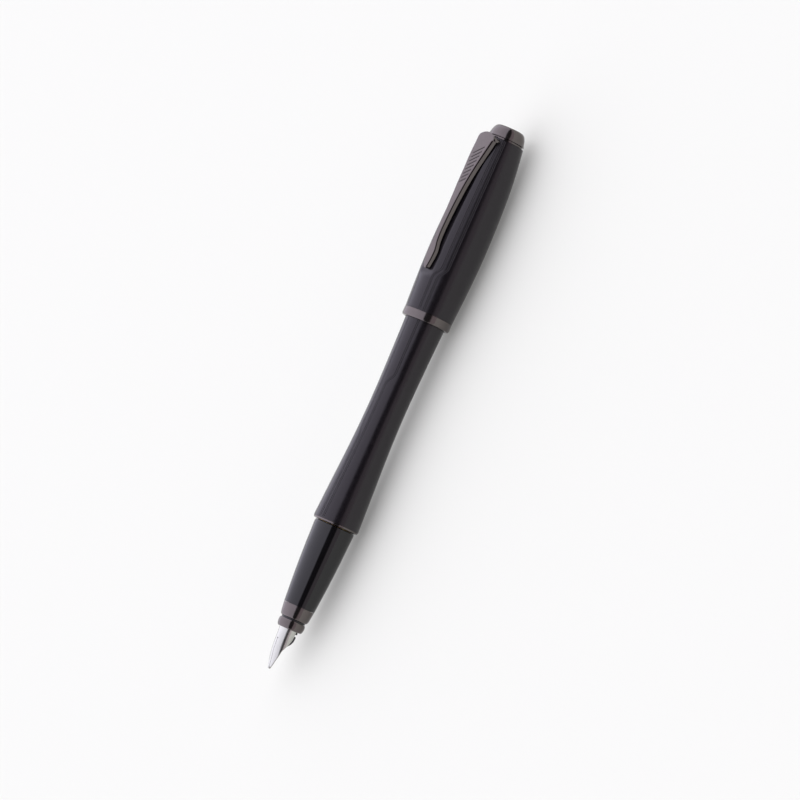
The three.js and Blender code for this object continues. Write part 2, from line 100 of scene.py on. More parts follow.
def welded(node):
    """Vertices of a CAD node as (station, azimuth, radius), and its edges, with doubled vertices merged."""
    mesh = NODES[node].data
    points = np.array([v.co for v in mesh.vertices]) / MM
    keys, index = np.unique(np.round(points, 3), axis=0, return_inverse=True)
    index = index.reshape(-1)
    edges = {tuple(sorted((index[a], index[b]))) for a, b in (e.vertices for e in mesh.edges)}
    height = keys[:, 2] - AXIS_Z
    return keys[:, 0], np.arctan2(-keys[:, 1], height), np.hypot(keys[:, 1], height), edges


def outline_of(node):
    """The outline of a turned CAD node as (station, radius) points.

    It is a closed loop, or for a piece that reaches the axis a line from axis to axis.
    """
    station, azimuth, radius, edges = welded(node)
    outer = radius > 0.05
    meridian = azimuth[outer].max()  # under the pen, where nothing is cut
    chosen = {i for i in range(len(station)) if not outer[i] or abs(azimuth[i] - meridian) < 0.01}
    near = {i: [] for i in chosen}
    for a, b in edges:
        if a in chosen and b in chosen:
            near[a].append(b)
            near[b].append(a)
    ends = sorted((i for i in chosen if not outer[i]), key=lambda i: station[i])
    first = ends[0] if ends else min(chosen, key=lambda i: (station[i], radius[i]))
    path = [first]
    while True:
        onward = [i for i in near[path[-1]] if i not in path]
        if not onward:
            break
        path.append(max(onward, key=lambda i: radius[i]) if len(path) == 1 else onward[0])
    return np.array([(station[i], radius[i] if outer[i] else 0) for i in path])


def outside_of(outline):
    """The stations and radii of a shell's outside."""
    return outline[1:np.argmax(outline[:, 0]) + 1].T


def turn_at(before, point, after):
    """How sharply a line turns at a point, in degrees."""
    a = point - before
    b = after - point
    return abs(math.degrees(math.atan2(a[0] * b[1] - a[1] * b[0], a @ b)))


def curve_through(points, step):
    """A smooth line through points, no coarser than step. Two points stay as they are."""
    if len(points) < 3:
        return points
    padded = np.vstack([2 * points[0] - points[1], points, 2 * points[-1] - points[-2]])
    made = []
    for p0, p1, p2, p3 in zip(padded, padded[1:], padded[2:], padded[3:]):
        long = np.linalg.norm(p2 - p1)
        count = max(2, math.ceil(long / step))
        m1 = tangent(p0, p1, p2) * min(long, 2 * np.linalg.norm(p1 - p0))
        m2 = tangent(p1, p2, p3) * min(long, 2 * np.linalg.norm(p3 - p2))
        for t in np.arange(count) / count:
            made.append(
                (2 * t**3 - 3 * t**2 + 1) * p1 + (t**3 - 2 * t**2 + t) * m1
                + (3 * t**2 - 2 * t**3) * p2 + (t**3 - t**2) * m2
            )
    return np.array([*made, points[-1]])


def tangent(before, point, after):
    """Unit direction of a smooth line at a point, weighing the nearer neighbour more."""
    a = point - before
    b = after - point
    direction = a / (a @ a) + b / (b @ b)
    return direction / np.linalg.norm(direction)


def softened(corner, before, after):
    """A few points that round a corner off, with one more on each side to keep the flats flat."""
    to_before = (before - corner) / np.linalg.norm(before - corner)
    to_after = (after - corner) / np.linalg.norm(after - corner)
    reach_a = min(EDGE, 0.3 * np.linalg.norm(before - corner))
    reach_b = min(EDGE, 0.3 * np.linalg.norm(after - corner))
    start = corner + to_before * reach_a
    end = corner + to_after * reach_b
    bend = [(1 - t) ** 2 * start + 2 * t * (1 - t) * corner + t**2 * end for t in (0, 0.25, 0.5, 0.75, 1)]
    return [corner + to_before * reach_a * 1.4, *bend, corner + to_after * reach_b * 1.4]


def refined(outline, step=0.5, round_over=ROUND_OVER):
    """An outline with its curves made smooth and its edges softened. A loop comes back open."""
    loop = outline[0][1] > 0.05
    points = list(outline)
    if loop:
        ring = points
        sharp = [
            i for i in range(len(ring))
            if turn_at(ring[i - 1], ring[i], ring[(i + 1) % len(ring)]) > round_over
        ]
        points = ring[sharp[0]:] + ring[:sharp[0] + 1]
    corners = [0]
    for i in range(1, len(points) - 1):
        if turn_at(points[i - 1], points[i], points[i + 1]) > round_over:
            corners.append(i)
    corners.append(len(points) - 1)
    runs = [curve_through(np.array(points[a:b + 1]), step) for a, b in zip(corners, corners[1:])]
    made = []
    for i, run in enumerate(runs):
        made.extend(run[1:-1])
        last = i == len(runs) - 1
        if not last or loop:
            after = runs[0][1] if last else runs[i + 1][1]
            made.extend(softened(run[-1], run[-2], after))
    if loop:
        return np.array(made)
    return np.array([runs[0][0], *made, runs[-1][-1]])


# ------------------------------------------------------------------ meshes


def mesh_object(name, points, faces):
    """An object from points in millimetres about the pen's axis, smooth shaded, facing outwards."""
    mesh = bpy.data.meshes.new(name)
    placed = np.array(points, float) * MM + np.array([0, 0, AXIS_Z * MM])
    mesh.from_pydata(placed.tolist(), [], [list(map(int, f)) for f in faces])
    mesh.validate()
    mesh.shade_smooth()
    made = bpy.data.objects.new(name, mesh)
    bpy.context.scene.collection.objects.link(made)
    return made


def around(radius, azimuth):
    """The -Y/+Z plane's y and z for a radius and an azimuth."""
    return -radius * np.sin(azimuth), radius * np.cos(azimuth)


def skin(name, station, radius, azimuth, loop):
    """A surface from grids whose rows follow an outline and whose columns go once round the axis.

    Rows on the axis become one point. With loop, the last row joins the first.
    """
    rows, columns = station.shape
    y, z = around(radius, azimuth)
    points = np.stack([station, y, z], axis=-1)
    number = np.zeros((rows, columns), int)
    flat = []
    for i in range(rows):
        if radius[i].max() < 1e-6:
            number[i] = len(flat)
            flat.append(points[i, 0])
            continue
        number[i] = np.arange(columns) + len(flat)
        flat.extend(points[i])
    faces = []
    for i in range(rows if loop else rows - 1):
        here = number[i]
        there = number[(i + 1) % rows]
        for j in range(columns):
            k = (j + 1) % columns
            corners = [here[j], here[k], there[k], there[j]]
            face = [c for n, c in enumerate(corners) if c not in corners[:n]]
            if len(face) > 2:
                faces.append(face)
    made = mesh_object(name, flat, faces)
    face_out(made)
    return made, number


def face_out(made):
    """Turns every face outwards."""
    bpy.context.view_layer.objects.active = made
    bpy.ops.object.mode_set(mode="EDIT")
    bpy.ops.mesh.select_all(action="SELECT")
    bpy.ops.mesh.normals_make_consistent(inside=False)
    bpy.ops.object.mode_set(mode="OBJECT")


def spun(name, outline, segments=ROUND, shape=None):
    """A turned piece. shape(station, radius, azimuth) may change the radius of the grid."""
    azimuth = np.tile(np.arange(segments) * 2 * np.pi / segments, (len(outline), 1))
    station = np.repeat(outline[:, :1], segments, axis=1)
    radius = np.repeat(outline[:, 1:], segments, axis=1)
    if shape:
        radius = shape(station, radius, azimuth)
    return skin(name, station, radius, azimuth, loop=outline[0][1] > 0.05)[0]


def finished(made, node, material, *also):
    """Gives a piece its body and its material, and lets it stand for its CAD nodes."""
    made.data.materials.clear()
    made.data.materials.append(material)
    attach(made, BODY_OF[node])
    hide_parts(node, *also)
    return made


def turned(node, material, segments=ROUND, step=0.5, round_over=ROUND_OVER):
    """Replaces a turned CAD node by the same shape with smooth curves and softened edges."""
    made = spun(node + "_fine", refined(outline_of(node), step, round_over), segments)
    return finished(made, node, material)


def smoothstep(x):
    """Passes softly from 0 to 1 while x does."""
    t = np.clip(x, 0, 1)
    return t * t * (3 - 2 * t)


# ------------------------------------------------------------------ materials


def principled(name, **values):
    """A material, its node tree and its shader, with the shader's own sockets set."""
    material = bpy.data.materials.new(name)
    material.use_nodes = True
    tree = material.node_tree
    shader = tree.nodes["Principled BSDF"]
    for socket, value in values.items():
        shader.inputs[socket.replace("_", " ")].default_value = value
    return material, tree, shader


def noise(tree, scale, stretch=(1, 1, 1), detail=3.0):
    """Noise in object space. scale is in features to the metre, stretch squeezes it along X, Y and Z."""
    where = tree.nodes.new("ShaderNodeTexCoord")
    squeeze = tree.nodes.new("ShaderNodeMapping")
    squeeze.inputs["Scale"].default_value = stretch
    texture = tree.nodes.new("ShaderNodeTexNoise")
    texture.inputs["Scale"].default_value = scale
    texture.inputs["Detail"].default_value = detail
    tree.links.new(where.outputs["Object"], squeeze.inputs["Vector"])
    tree.links.new(squeeze.outputs["Vector"], texture.inputs["Vector"])
    return texture.outputs["Fac"]


def ranged(tree, value, low, high):
    """The middle of a noise mapped to a range."""
    node = tree.nodes.new("ShaderNodeMapRange")
    node.inputs["From Min"].default_value = 0.3
    node.inputs["From Max"].default_value = 0.7
    node.inputs["To Min"].default_value = low
    node.inputs["To Max"].default_value = high
    tree.links.new(value, node.inputs["Value"])
    return node.outputs["Result"]


def between(tree, factor, dark, light):
    """A colour between two, by a factor."""
    node = tree.nodes.new("ShaderNodeMix")
    node.data_type = "RGBA"
    node.inputs["A"].default_value = (*dark, 1)
    node.inputs["B"].default_value = (*light, 1)
    tree.links.new(factor, node.inputs["Factor"])
    return node.outputs["Result"]


def bumped(tree, shader, height, distance):
    """Small relief, its distance in metres."""
    node = tree.nodes.new("ShaderNodeBump")
    node.inputs["Strength"].default_value = 1.0
    node.inputs["Distance"].default_value = distance
    tree.links.new(height, node.inputs["Height"])
    tree.links.new(node.outputs["Normal"], shader.inputs["Normal"])


SMOKE = (1, 0.955, 0.985, 1)  # the faint tint of the black surfaces' gloss


def lacquer():
    """Satin black lacquer over brass: a little uneven, with the engraved lines duller, and darker by
    painted shade in them.
    """
    material, tree, shader = principled("black_lacquer", Metallic=0.0, IOR=1.46, Specular_Tint=SMOKE)
    cloud = noise(tree, 260, detail=4)
    tint = between(tree, cloud, (0.0042, 0.0034, 0.0046), (0.0066, 0.0054, 0.007))
    # painted shade: the bottoms of the engraved lines are coloured near black
    tint, engraving = shaded_in_grooves(tree, tint, (0.001, 0.001, 0.001))
    tree.links.new(tint, shader.inputs["Base Color"])
    rough = ranged(tree, noise(tree, 900, detail=5), 0.2, 0.27)
    dull = tree.nodes.new("ShaderNodeMath")
    dull.operation = "MULTIPLY_ADD"
    dull.inputs[1].default_value = 0.4
    tree.links.new(engraving, dull.inputs[0])
    tree.links.new(rough, dull.inputs[2])
    tree.links.new(dull.outputs["Value"], shader.inputs["Roughness"])
    bumped(tree, shader, noise(tree, 5200, detail=2), 0.0000018)
    return material


def gloss_black():
    """Polished black grip with the faintest flow marks and handling marks."""
    material, tree, shader = principled("gloss_black", Metallic=0.0, IOR=1.47)
    tint = between(tree, noise(tree, 180), (0.0018, 0.0017, 0.002), (0.0032, 0.003, 0.0036))
    tree.links.new(tint, shader.inputs["Base Color"])
    rough = ranged(tree, noise(tree, 1400, (1, 0.4, 0.4), 6), 0.07, 0.12)
    tree.links.new(rough, shader.inputs["Roughness"])
    bumped(tree, shader, noise(tree, 700, detail=1), 0.000002)
    return material


def shaded_in_grooves(tree, tint, dark):
    """A colour with painted shade in the grooves: it turns dark where a surface is engraved."""
    line = tree.nodes.new("ShaderNodeAttribute")
    line.attribute_name = "engraved"
    mix = tree.nodes.new("ShaderNodeMix")
    mix.data_type = "RGBA"
    mix.inputs["B"].default_value = (*dark, 1)
    tree.links.new(line.outputs["Fac"], mix.inputs["Factor"])
    tree.links.new(tint, mix.inputs["A"])
    return mix.outputs["Result"], line.outputs["Fac"]


def turned_metal(name, dark, light, rough_low, rough_high, relief):
    """Plated or bare metal with faint turning marks round the axis, darker where it is engraved by painted
    shade in the grooves.
    """
    material, tree, shader = principled(name, Metallic=1.0)
    tint = between(tree, noise(tree, 700, detail=4), dark, light)
    # painted shade: where the engraved attribute is set, the colour drops to an eighth of the dark tint
    tree.links.new(shaded_in_grooves(tree, tint, [0.12 * c for c in dark])[0], shader.inputs["Base Color"])
    marks = noise(tree, 900, (14, 0.25, 0.25), 3)
    tree.links.new(ranged(tree, marks, rough_low, rough_high), shader.inputs["Roughness"])
    bumped(tree, shader, marks, relief)
    return material


def nib_steel():
    """Polished sheet steel, with fine polishing lines along the nib."""
    material, tree, shader = principled("nib_steel", Metallic=1.0)
    tint = between(tree, noise(tree, 500), (0.44, 0.445, 0.41), (0.5, 0.505, 0.465))
    tree.links.new(tint, shader.inputs["Base Color"])
    lines = noise(tree, 1500, (0.12, 6, 6), 4)
    tree.links.new(ranged(tree, lines, 0.16, 0.26), shader.inputs["Roughness"])
    bumped(tree, shader, lines, 0.0000015)
    return material


def moulded(name, dark, light, rough_low, rough_high):
    """Black moulded plastic with a fine matt grain."""
    material, tree, shader = principled(name, Metallic=0.0, IOR=1.46)
    tint = between(tree, noise(tree, 400), dark, light)
    tree.links.new(tint, shader.inputs["Base Color"])
    grain = noise(tree, 6000, detail=2)
    tree.links.new(ranged(tree, grain, rough_low, rough_high), shader.inputs["Roughness"])
    bumped(tree, shader, grain, 0.000004)
    return material


def clear_plastic():
    """Clear tank wall, very slightly wavy."""
    material, tree, shader = principled(
        "clear_plastic", Base_Color=(0.93, 0.95, 0.96, 1), Metallic=0.0, IOR=1.49, Transmission_Weight=1.0,
    )
    tree.links.new(ranged(tree, noise(tree, 900), 0.02, 0.06), shader.inputs["Roughness"])
    bumped(tree, shader, noise(tree, 350, detail=1), 0.000003)
    return material


LACQUER = lacquer()
GRIP_BLACK = gloss_black()
GUNMETAL = turned_metal(
    "gunmetal_trim", (0.112, 0.0995, 0.0955), (0.128, 0.1138, 0.1095), 0.1, 0.17, 0.000002,
)
STEEL = nib_steel()
BRASS = turned_metal("brass_insert", (0.5, 0.35, 0.13), (0.62, 0.45, 0.18), 0.22, 0.34, 0.000004)
PLATED = turned_metal("converter_steel", (0.5, 0.5, 0.51), (0.58, 0.58, 0.59), 0.1, 0.2, 0.000002)
FEED_BLACK = moulded("feed_black", (0.012, 0.012, 0.013), (0.02, 0.02, 0.021), 0.32, 0.45)
LINER_BLACK = moulded("liner_black", (0.02, 0.02, 0.021), (0.03, 0.03, 0.031), 0.4, 0.55)
CLEAR = clear_plastic()
RUBBER = moulded("seal_rubber", (0.01, 0.01, 0.01), (0.018, 0.018, 0.018), 0.55, 0.7)


# ------------------------------------------------------------------ engraved barrel and cap

LINE_HALF_WIDTH = 0.09
LINE_DEPTH = 0.06
LINE_SPACING = 0.42  # between the two lines of a pair
LINE_SECTION = [(-1.6, 0.0), (-1.0, 0.0), (-0.5, 0.8), (0.0, 1.0), (0.5, 0.8), (1.0, 0.0), (1.6, 0.0)]
FILL_DEGREES = 1.5
JOG_LENGTH = 3.2
NEARBY = 0.7  # the largest radius within this distance is taken as a shell's surface
SKIN_DEPTH = 0.3  # what is no deeper under it than this is outside
END_FACE = 0.15  # nothing nearer to the end of a shell than this is engraved
CLEAR_OF_END = 0.1  # where the depth of the engraving starts to grow
ENGRAVING_FADE = 0.25
FLAT_FRONT = 107 + limits("nib")[0].x  # the cap's flat starts 107 mm behind the nib's tip, under the clip
FLAT_DEPTH = 0.42
FLAT_RAMP = 0.5

# Pairs of engraved lines: azimuth in degrees at the front, then (share of the length, turn in degrees).
BARREL_LINES = [
    (13, [(0.48, 18)]), (1.4, [(0.3, -9)]), (146, [(0.4, -15)]), (174, [(0.55, 14)]), (204, [(0.28, -12)]),
    (243, [(0.7, 16)]), (281, [(0.36, -10)]), (322, [(0.6, 13)]),
]
CAP_LINES = [
    (23.4, [(0.22, 13.6)]), (35.6, [(0.22, 13.1)]), (150, [(0.62, -13)]), (184, [(0.3, 12)]),
    (218, [(0.5, -12)]), (252, [(0.26, 15)]), (296, [(0.6, -14)]), (343, [(0.18, -9)]),
]


def columns_of(tracks, station, radius, first, last):
    """Azimuth and depth of every column at every row, the columns following the engraved lines."""
    azimuths = []
    depths = []
    pairs = []
    for start, jogs in tracks:
        azimuth = np.full(len(station), math.radians(start))
        for share, turn in jogs:
            middle = first + share * (last - first)
            azimuth += math.radians(turn) * smoothstep((station - middle) / JOG_LENGTH + 0.5)
        pairs.append(azimuth)
    pairs.sort(key=lambda a: a.mean())
    wide = np.maximum(radius, 3.0)
    for azimuth, following in zip(pairs, [*pairs[1:], pairs[0] + 2 * np.pi]):
        for side in (-0.5, 0.5):
            for offset, depth in LINE_SECTION:
                azimuths.append(azimuth + (side * LINE_SPACING + offset * LINE_HALF_WIDTH) / wide)
                depths.append(depth)
        edge = (0.5 * LINE_SPACING + LINE_SECTION[-1][0] * LINE_HALF_WIDTH) / wide
        near, far = azimuth + edge, following - edge
        count = max(1, round(math.degrees((far - near).mean()) / FILL_DEGREES))
        for k in range(1, count):
            azimuths.append(near + (far - near) * k / count)
            depths.append(0.0)
    return np.array(azimuths).T, np.array(depths)


def flattened(grid, station, azimuth, outline):
    """Cuts a flat along the top of a shell, from one station on."""
    depth = FLAT_DEPTH * smoothstep((station - FLAT_FRONT) / FLAT_RAMP)
    height = np.interp(station, *outside_of(outline)) - depth
    beside = height[:, None] / np.maximum(np.cos(azimuth), 0.3)
    return np.where(station[:, None] > FLAT_FRONT, np.minimum(grid, beside), grid)


def engraved(node, tracks, flat=False):
    """A lacquered shell whose outside carries pairs of fine lines, and may have a flat along its top."""
    outline = refined(outline_of(node), step=0.6)
    station, radius = outline.T
    first, last = station.min(), station.max()
    azimuth, depth = columns_of(tracks, station, radius, first, last)
    columns = azimuth.shape[1]
    surface = np.array([radius[np.abs(station - s) < NEARBY].max() for s in station])
    between_ends = (station > first + END_FACE) & (station < last - END_FACE)
    outside = (radius > surface - SKIN_DEPTH) & between_ends
    from_front = smoothstep((station - first - CLEAR_OF_END) / ENGRAVING_FADE)
    from_rear = smoothstep((last - CLEAR_OF_END - station) / ENGRAVING_FADE)
    ends = from_front * from_rear
    cut = (outside * ends)[:, None] * depth[None, :]
    grid = np.repeat(radius[:, None], columns, axis=1) - LINE_DEPTH * cut
    if flat:
        grid = flattened(grid, station, azimuth, outline_of(node))
    made, number = skin(
        node + "_fine", np.repeat(station[:, None], columns, axis=1), grid, azimuth, loop=True,
    )
    # the engraved attribute is the depth of the cut, which the lacquer also uses for painted shade in the
    # lines
    mark = made.data.attributes.new("engraved", "FLOAT", "POINT")
    values = np.zeros(len(made.data.vertices), np.float32)
    values[number.ravel()] = cut.ravel()
    mark.data.foreach_set("value", values)
    return finished(made, node, LACQUER)


# ------------------------------------------------------------------ pieces turned about the axis

engraved("barrel_shell", BARREL_LINES)
engraved("cap_shell", CAP_LINES, flat=True)
for trim in ("nose_ring", "front_band", "barrel_mouth_ring", "barrel_end_plug", "cap_lip_band", "crown"):
    turned(trim, GUNMETAL, step=0.12)
turned("grip_section", GRIP_BLACK)
turned("inner_cap", LINER_BLACK)
turned("feed_housing", FEED_BLACK, round_over=STRAIGHT)
turned("converter_tube", CLEAR, ROUND_INSIDE, round_over=STRAIGHT)
turned("converter_sleeve", PLATED, ROUND_INSIDE, round_over=STRAIGHT)
turned("converter_guide", FEED_BLACK, ROUND_INSIDE, round_over=STRAIGHT)
turned("piston_seal", RUBBER, ROUND_INSIDE, round_over=STRAIGHT)


# ------------------------------------------------------------------ shapes that are not turned


def flowing(points, x):
    """Value at x of a smooth line through (x, value) points, which never overshoots them."""
    xs, ys = np.array(points, float).T
    step = np.diff(xs)
    slope = np.diff(ys) / step
    product = slope[1:] * slope[:-1]
    total = np.where(product > 0, slope[1:] + slope[:-1], 1)
    inner = np.where(product > 0, 2 * product / total, 0)
    lean = np.concatenate([slope[:1], inner, slope[-1:]])
    x = np.clip(x, xs[0], xs[-1])
    i = np.clip(np.searchsorted(xs, x) - 1, 0, len(step) - 1)
    t = (x - xs[i]) / step[i]
    return (
        (2 * t**3 - 3 * t**2 + 1) * ys[i] + (t**3 - 2 * t**2 + t) * step[i] * lean[i]
        + (3 * t**2 - 2 * t**3) * ys[i + 1] + (t**3 - t**2) * step[i] * lean[i + 1]
    )


def lofted(rows, wall=None):
    """Points and faces of a tube. Its closed sections are rows, an array of (row, place round it, xyz).

    Both ends are capped. wall(i) says whether the strip that closes the sections is there between rows
    i and i + 1.
    """
    count, around_it = rows.shape[:2]
    number = np.arange(count * around_it).reshape(count, around_it)
    faces = [number[0].tolist(), number[-1][::-1].tolist()]
    for i in range(count - 1):
        for k in range(around_it):
            if k == around_it - 1 and wall and not wall(i):
                continue
            after = (k + 1) % around_it
            faces.append([number[i, k], number[i + 1, k], number[i + 1, after], number[i, after]])
    return rows.reshape(-1, 3), faces


def together(*shapes):
    """Several (points, faces) as one."""
    points = []
    faces = []
    for some_points, some_faces in shapes:
        faces.extend([[c + len(points) for c in face] for face in some_faces])
        points.extend(some_points)
    return np.array(points), faces


def mirrored(shape):
    """A (points, faces) shape seen in the pen's middle plane."""
    points, faces = shape
    return points * (1, -1, 1), [face[::-1] for face in faces]


WELD = 0.002  # points closer than this are one


def tidied(made, sharp_degrees):
    """Welds touching points, turns faces outwards and keeps edges crisp that turn by more than an angle."""
    mesh = bmesh.new()
    mesh.from_mesh(made.data)
    bmesh.ops.remove_doubles(mesh, verts=mesh.verts, dist=WELD * MM)
    bmesh.ops.recalc_face_normals(mesh, faces=mesh.faces)
    mesh.to_mesh(made.data)
    mesh.free()
    made.data.set_sharp_from_angle(angle=math.radians(sharp_degrees))


def dome(centre, radii, start=0.0, rings=8, segments=24):
    """An ellipsoid, or with start above 0 the end of one towards +Y, closed by a flat face."""
    lifts = np.linspace(-math.pi / 2 if start == 0 else 0, math.pi / 2, rings + 1)
    turns = np.arange(segments) * 2 * np.pi / segments
    rows = np.array([
        [
            (
                centre[0] + radii[0] * math.cos(lift) * math.cos(turn),
                centre[1] + start + radii[1] * math.sin(lift),
                centre[2] + radii[2] * math.cos(lift) * math.sin(turn),
            )
            for turn in turns
        ]
        for lift in lifts
    ])
    return lofted(rows)


# ------------------------------------------------------------------ nib

NIB_FRONT, NIB_REAR = limits("nib")[0].x, limits("nib")[1].x
NIB_SHEET = 0.32
TIP_RADIUS = 0.42
SLIT_HALF = 0.055
BREATHER = 8.1  # distance from the nib's tip
BREATHER_RADIUS = 0.16
# By the distance from the nib's tip: height of its top over the axis, radius of its arc, half its angle.
NIB_TOP = [(0, 1.03), (2, 1.36), (4, 1.83), (6, 2.18), (9.5, 2.45), (12, 2.65), (24, 2.65)]
NIB_ARC_RADIUS = [(0, 2.2), (2, 2.36), (4, 2.5), (6, 2.45), (9.5, 2.48), (12, 2.65), (24, 2.65)]
NIB_HALF_ANGLE = [
    (0, 9), (0.5, 15), (1, 22), (2, 30), (3, 39), (4, 48), (5, 56), (7.3, 85), (9.5, 104), (24, 104),
]


def nib_rows():
    """Distances from the tip at which the nib is sectioned, close together round the breather hole."""
    hole = BREATHER - BREATHER_RADIUS * np.cos(np.linspace(0, np.pi, 21))
    before = np.linspace(TIP_RADIUS, hole[0], 44)[:-1]
    after = np.linspace(hole[-1], 12, 20)[1:]
    return np.concatenate([before, hole, after, np.linspace(12, NIB_REAR - NIB_FRONT, 12)[1:]])


def half_opening(distance):
    """Half the gap in the middle of the nib: the slit, then the breather hole, then none."""
    hole = math.sqrt(max(0.0, BREATHER_RADIUS**2 - (distance - BREATHER) ** 2))
    if distance < BREATHER:
        return max(SLIT_HALF, hole)
    return hole if hole > WELD else 0.0


def nib_half():
    """The +Y half of the bent sheet. Each section runs out along its top, round the edge and back."""
    distances = nib_rows()
    rows = []
    for distance in distances:
        radius = flowing(NIB_ARC_RADIUS, distance)
        centre = flowing(NIB_TOP, distance) - radius
        middle = radius - NIB_SHEET / 2
        edge = math.radians(flowing(NIB_HALF_ANGLE, distance)) - NIB_SHEET / 2 / middle
        opening = half_opening(distance)
        spread = np.linspace(0, 1, 22)
        top = [(radius, a) for a in math.asin(opening / radius) * (1 - spread) + edge * spread]
        low = radius - NIB_SHEET
        under = [(low, a) for a in math.asin(opening / low) * spread + edge * (1 - spread)]
        section = [(r * math.sin(a), centre + r * math.cos(a)) for r, a in top]
        for b in np.radians((60, 30, 0, -30, -60)):
            out = NIB_SHEET / 2 * math.sin(b) + middle
            along = NIB_SHEET / 2 * math.cos(b)
            section.append((
                out * math.sin(edge) + along * math.cos(edge),
                centre + out * math.cos(edge) - along * math.sin(edge),
            ))
        section.extend((r * math.sin(a), centre + r * math.cos(a)) for r, a in under)
        rows.append([(NIB_FRONT + distance, y, z) for y, z in section])
    return lofted(np.array(rows), wall=lambda i: half_opening(distances[i]) > 0)


def nib():
    """The nib: a bent sheet, slit from its tip to the breather hole, with two pellets of hard metal."""
    height = float(flowing(NIB_TOP, 0)) - NIB_SHEET / 2
    pellet = dome(
        (NIB_FRONT + TIP_RADIUS, 0, height), (TIP_RADIUS, TIP_RADIUS - SLIT_HALF, TIP_RADIUS), SLIT_HALF,
    )
    half = together(nib_half(), pellet)
    made = mesh_object("nib_fine", *together(half, mirrored(half)))
    tidied(made, 45)
    finished(made, "nib", STEEL)


# ------------------------------------------------------------------ feed


def between_points(values):
    """Puts a smooth point between each two neighbours of a closed row."""
    before, after, next_one = (np.roll(values, n, axis=0) for n in (1, -1, -2))
    extra = (9 * (values + after) - before - next_one) / 16
    return np.stack([values, extra], axis=1).reshape(-1, values.shape[1])


def feed():
    """The ink feed, its sections those of the CAD solid made round, with comb cuts under its front."""
    points = np.array([v.co for v in NODES["feed"].data.vertices]) / MM - (0, 0, AXIS_Z)
    points = np.unique(np.round(points, 3), axis=0)
    rows = []
    for station in np.unique(points[:, 0]):
        ring = points[points[:, 0] == station]
        if len(ring) < 8:
            continue
        middle = ring.mean(axis=0)
        ring = ring[np.linalg.norm(ring - middle, axis=1) > 0.1]
        turn = np.arctan2(ring[:, 1] - middle[1], ring[:, 2] - middle[2])
        rows.append(between_points(between_points(ring[np.argsort(turn)])))
    made = mesh_object("feed_fine", *lofted(np.array(combed(rows))))
    tidied(made, 35)
    finished(made, "feed", FEED_BLACK)


COMB_FRONT = 7.9  # distance from the nib's tip
COMB_PITCH = 0.42
COMB_CUTS = 4
COMB_DEPTH = 0.16
COMB_TOP = -1.7  # height over the axis below which the feed is cut


def combed(rows):
    """Adds rows to the feed so that fine cuts cross its underside near the front."""
    stations = np.array([row[0, 0] for row in rows])
    made = list(rows)
    for i in range(COMB_CUTS):
        start = NIB_FRONT + COMB_FRONT + i * COMB_PITCH
        for offset, depth in ((0, 0), (0.03, 1), (0.15, 1), (0.18, 0)):
            station = start + offset
            after = np.searchsorted(stations, station)
            share = (station - stations[after - 1]) / (stations[after] - stations[after - 1])
            row = rows[after - 1] * (1 - share) + rows[after] * share
            middle = row.mean(axis=0)
            under = smoothstep((COMB_TOP - row[:, 2:]) / 0.3)
            row = row - (row - middle) * under * depth * COMB_DEPTH
            row[:, 0] = station
            made.append(row)
    return sorted(made, key=lambda row: row[0, 0])


# ------------------------------------------------------------------ clip

CLIP_FRONT, CLIP_REAR = limits("clip_blade")[0].x, limits("clip_blade")[1].x
CLIP_THICKNESS = 1.4
CLIP_GAP = 0.25  # the least there is between the blade and the cap's flat
# Distances here are from the foot's end: the height of the face over the axis, and the face's width.
CLIP_HEIGHT = [
    (0, 7.82), (4.9, 8.12), (11.4, 8.32), (17.4, 8.28), (22.4, 8.08), (27.4, 7.62), (32.4, 7.07),
    (35.9, 6.68), (38.2, 6.5),
]
CLIP_WIDTH = [
    (0, 0.5), (0.4, 1.0), (1.4, 1.5), (3.4, 2.15), (4.8, 2.35), (6.0, 2.0), (7.4, 1.45), (9.9, 1.25),
    (14.4, 1.5), (18.4, 1.9), (22.4, 2.45), (27.4, 3.4), (32.4, 4.75), (35.9, 5.7), (37.2, 6.05),
    (37.7, 5.95), (38.0, 5.6), (38.2, 5.0),
]
# Half a section, from the middle of the face to its edge: share of the half width, and drop.
CLIP_FACE = [
    (0.0, 0.0), (0.2, 0.003), (0.4, 0.01), (0.56, 0.018), (0.7, 0.025), (0.86, 0.04), (0.97, 0.05),
]
# The bevel along the edge: how far out from the face, and drop, both in sizes of the bevel.
CLIP_BEVEL = [
    (0.02, 0.075), (0.06, 0.115), (0.13, 0.2), (0.2, 0.285), (0.24, 0.335), (0.26, 0.39), (0.265, 0.43),
]
BEVEL_SIZE = 0.6  # of a blade without width
BEVEL_GROWTH = 0.3  # for each mm of half width
# Then down the side: share of the way down, and how far it is set in.
CLIP_SIDE = [(0.2, 0.0), (0.4, 0.0), (0.6, 0.0), (0.8, 0.0), (0.9, 0.0), (0.97, 0.03), (1.0, 0.1)]
CLIP_FLARE = 0.2
CLIP_UNDER = (0.75, 0.4, 0.0)
HATCH_SLANT = math.radians(38)
HATCH_LINES = 8
HATCH_REAR = 32.9
HATCH_PITCH = 1.25
HATCH_DEPTH = 0.2
HATCH_HALF_WIDTH = 0.24
HATCH_SHARE = 0.6  # of the face's half width
WASHER_RADIUS = 4.55
ROOT_BEND = 0.45  # length of the root that turns down to the washer
ROOT_LOW = 4.3
ROOT_ARC = 0.75  # how far the root's end is in front of its middle at the sides
ROOT_ARC_LENGTH = 4.5
ROOT_ROUND = 0.1
FOOT_ROUND = 0.5
FOOT_NARROW = 0.4  # the least share of its width that the foot keeps at its end
SLANT_FRONT = 19.5  # the sections start to lean here, and lean fully SLANT_RAMP further on
SLANT_RAMP = 5.5
UPRIGHT_ROOT = 0.9  # the length at the root whose sections don't lean
UPRIGHT_RAMP = 4.2
BUMP = 3.4  # distance of the bump under the foot
BUMP_RADIUS = 0.6
BUMP_HALF_HEIGHT = 0.36


